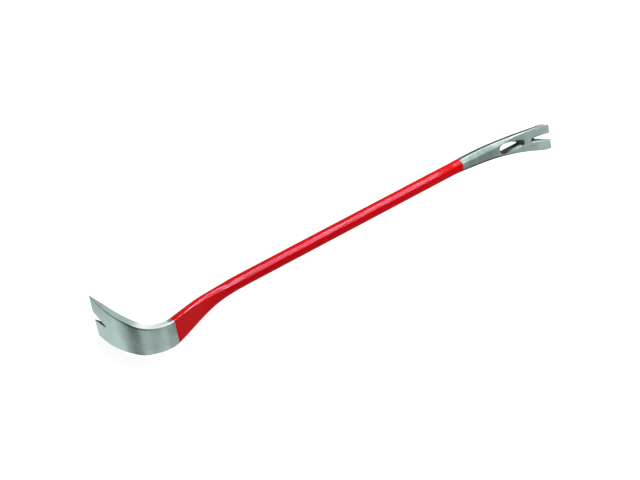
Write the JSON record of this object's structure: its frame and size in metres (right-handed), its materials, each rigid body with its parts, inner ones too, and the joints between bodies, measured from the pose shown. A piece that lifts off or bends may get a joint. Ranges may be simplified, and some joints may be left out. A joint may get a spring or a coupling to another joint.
{
  "type": "crowbar",
  "caption": "Octagonal steel crowbar with a wide notched foot at a right angle, a curved slotted nail claw and a red coat on the shaft.",
  "frame": {"origin": "middle of the bar's box at its lowest level, which is the lower corner of the foot's edge as the bar lies on its side", "axes": "+X along the shaft from the foot to the claw, +Y the way the foot's blade points, +Z across the bar, square to the plane of its bends"},
  "size_m": [0.74, 0.1462, 0.0616],
  "materials": {
    "forged_steel": "bare forged steel, ground and satin polished",
    "red_coat": "glossy red baked coat"
  },
  "bodies": {
    "root": {"forged_bar": "forged_steel", "red_coat": "red_coat"}
  },
  "joints": []
}
